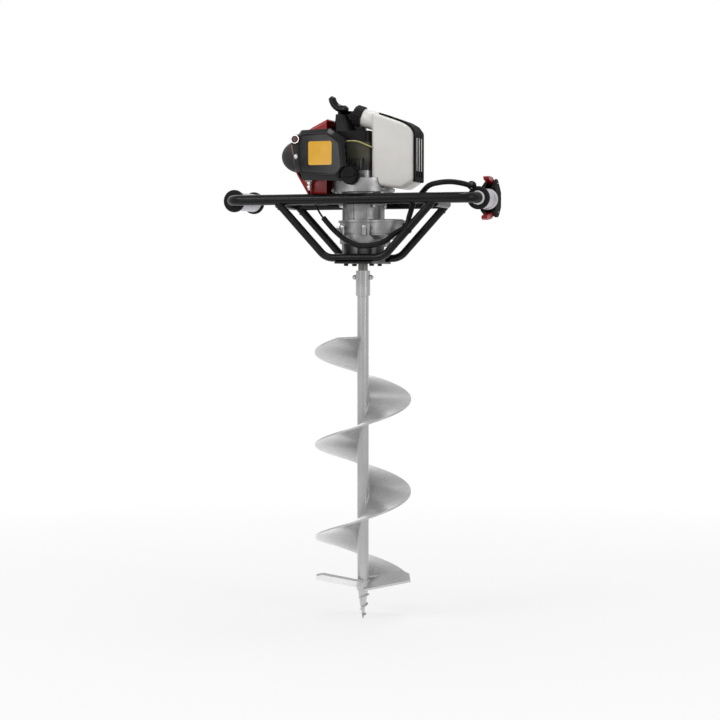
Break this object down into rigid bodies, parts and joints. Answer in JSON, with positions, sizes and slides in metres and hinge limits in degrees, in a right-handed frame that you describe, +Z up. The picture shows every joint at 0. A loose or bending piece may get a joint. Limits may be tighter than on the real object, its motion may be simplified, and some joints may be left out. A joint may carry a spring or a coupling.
{
  "type": "earth auger",
  "caption": "Petrol earth auger: two-stroke engine in a tube frame with side grips, driving a helical drill bit with cutter wings through a clutch and reduction gearbox.",
  "frame": {"origin": "the drill's point, on the axis the bit turns about", "axes": "+Z up along the drive axis from the point to the engine, +X to the throttle grip, +Y back to the operator, where the grips point"},
  "size_m": [0.5749, 0.2, 1.0873],
  "materials": {
    "black_tube": "satin black powder coat",
    "grip_rubber": "soft matt",
    "black_plastic": "fine grain",
    "red_plastic": "gloss red",
    "grey_plastic": "fine grain",
    "cast_alloy": "die cast",
    "steel": "plain",
    "bit_paint": "light grey satin",
    "heat_black": "matt heat paint",
    "ceramic": "glazed",
    "foam": "open foam",
    "tank_plastic": "milky",
    "fuel_hose": "clear amber",
    "rope": "braided"
  },
  "bodies": {
    "frame": {"handlebar": "black_tube", "rear_hoop": "black_tube", "front_cradle": "black_tube", "rear_cradle": "black_tube", "base_plate": "black_tube", "mount_bolts": "steel", "left_grip": "grip_rubber", "right_grip": "grip_rubber", "grip_collars": "black_plastic", "throttle_housing": "black_plastic", "throttle_pins": "steel", "throttle_conduit": "black_plastic", "throttle_cable": "black_plastic", "cable_adjuster": "steel", "cable_tie": "black_plastic", "gearbox_lower": "cast_alloy", "gearbox_upper": "cast_alloy", "housing_bolts": "steel", "oil_seal": "black_plastic", "gearbox_bearings": "steel", "clutch_housing": "cast_alloy", "fan_housing": "cast_alloy", "crankcase": "cast_alloy", "engine_cowl": "grey_plastic", "engine_cylinder": "cast_alloy", "spark_plug": "ceramic", "cylinder_shroud": "red_plastic", "plug_cover": "grey_plastic", "muffler": "heat_black", "carburettor": "cast_alloy", "air_cleaner_base": "black_plastic", "air_filter": "foam", "air_cleaner_cover": "black_plastic", "cover_screw": "steel", "fuel_tank": "tank_plastic", "tank_guard": "black_plastic", "fuel_line": "fuel_hose", "starter_housing": "black_plastic"},
    "auger": {"output_shaft": "steel", "output_gear": "steel", "auger_tube": "bit_paint", "coupling_bolt": "steel", "auger_flight": "bit_paint", "cutter_blades": "bit_paint", "auger_tip": "bit_paint"},
    "layshaft": {"lay_shaft": "steel", "lay_gear": "steel"},
    "drum": {"clutch_drum": "steel"},
    "crank": {"crankshaft": "steel", "flywheel": "cast_alloy", "clutch_shoes": "steel"},
    "pull": {"starter_handle": "black_plastic", "starter_rope": "rope"},
    "reel": {"starter_reel": "black_plastic"},
    "trigger": {"throttle_trigger": "red_plastic"},
    "lock": {"throttle_lock": "red_plastic"},
    "switch": {"stop_switch": "red_plastic"},
    "choke": {"choke_knob": "black_plastic"},
    "cover_knob": {"cover_knob": "black_plastic"},
    "cap": {"fuel_cap": "black_plastic"}
  },
  "joints": [
    {"name": "auger_spin", "type": "hinge", "parent": "frame", "child": "auger", "pos_m": [0, 0, 0.7], "axis": [0, 0, 1], "continuous": true},
    {"name": "layshaft_spin", "type": "hinge", "parent": "frame", "child": "layshaft", "pos_m": [0.045, 0, 0.8], "axis": [0, 0, 1], "continuous": true},
    {"name": "drum_spin", "type": "hinge", "parent": "frame", "child": "drum", "pos_m": [0, 0, 0.83], "axis": [0, 0, 1], "continuous": true},
    {"name": "crank_spin", "type": "hinge", "parent": "frame", "child": "crank", "pos_m": [0, 0, 0.89], "axis": [0, 0, 1], "continuous": true},
    {"name": "starter_pull", "type": "slide", "parent": "frame", "child": "pull", "axis": [0, 0, 1], "range_m": [0, 0.6], "deforming": ["starter_rope"]},
    {"name": "reel_spin", "type": "hinge", "parent": "frame", "child": "reel", "pos_m": [0, 0, 0.995], "axis": [0, 0, 1], "range_deg": [0, 1750]},
    {"name": "trigger_pivot", "type": "hinge", "parent": "frame", "child": "trigger", "pos_m": [0.252, 0.083, 0.844], "axis": [-1, 0, 0], "range_deg": [0, 12], "stiffness_Nm_per_rad": 0.6},
    {"name": "lock_pivot", "type": "hinge", "parent": "frame", "child": "lock", "pos_m": [0.252, 0.085, 0.902], "axis": [1, 0, 0], "range_deg": [0, 9], "stiffness_Nm_per_rad": 0.4},
    {"name": "stop_slide", "type": "slide", "parent": "frame", "child": "switch", "axis": [0, 1, 0], "range_m": [0, 0.004]},
    {"name": "choke_turn", "type": "hinge", "parent": "frame", "child": "choke", "pos_m": [-0.004, -0.08, 0.916], "axis": [0, -1, 0], "range_deg": [0, 75]},
    {"name": "cover_knob_turn", "type": "hinge", "parent": "frame", "child": "cover_knob", "pos_m": [-0.116, -0.085, 0.99], "axis": [0, -1, 0], "continuous": true},
    {"name": "cap_turn", "type": "hinge", "parent": "frame", "child": "cap", "pos_m": [-0.00099, -0.02, 1.03917], "axis": [-0.9511, 0, 0.309], "continuous": true}
  ],
  "couplings": [
    {"joint": "layshaft_spin", "follows": "auger_spin", "ratio": -4},
    {"joint": "drum_spin", "follows": "auger_spin", "ratio": 20},
    {"joint": "reel_spin", "follows": "starter_pull", "rad_per_m": 50.633}
  ]
}
